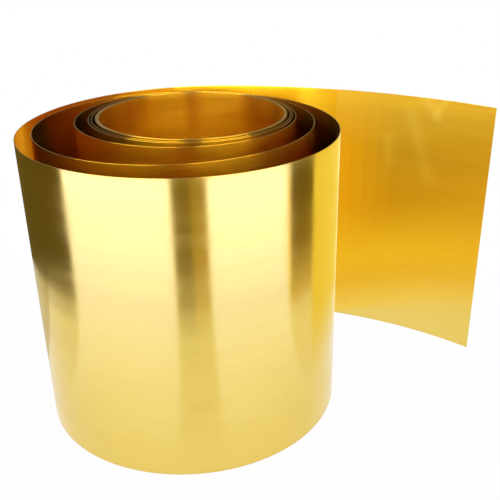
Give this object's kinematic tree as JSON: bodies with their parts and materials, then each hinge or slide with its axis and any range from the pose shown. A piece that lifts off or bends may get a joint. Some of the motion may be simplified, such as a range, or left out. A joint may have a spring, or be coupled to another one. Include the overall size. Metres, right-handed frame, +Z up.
{
  "type": "roll of brass strip",
  "caption": "Partly unwound roll of thin brass strip standing on edge: tight turns round a bore, loose outer turns and a free end that curves away.",
  "frame": {"origin": "on the axis of the bore, at the level of the strip's lower edge", "axes": "+Z up along the bore, +X towards the side where the loose end leaves the roll, -Y towards the front of the roll, where its turns stand widest apart"},
  "size_m": [0.3239, 0.228, 0.2],
  "materials": {
    "brass": "bright rolled"
  },
  "bodies": {
    "root": {"brass_strip": "brass"}
  },
  "joints": []
}
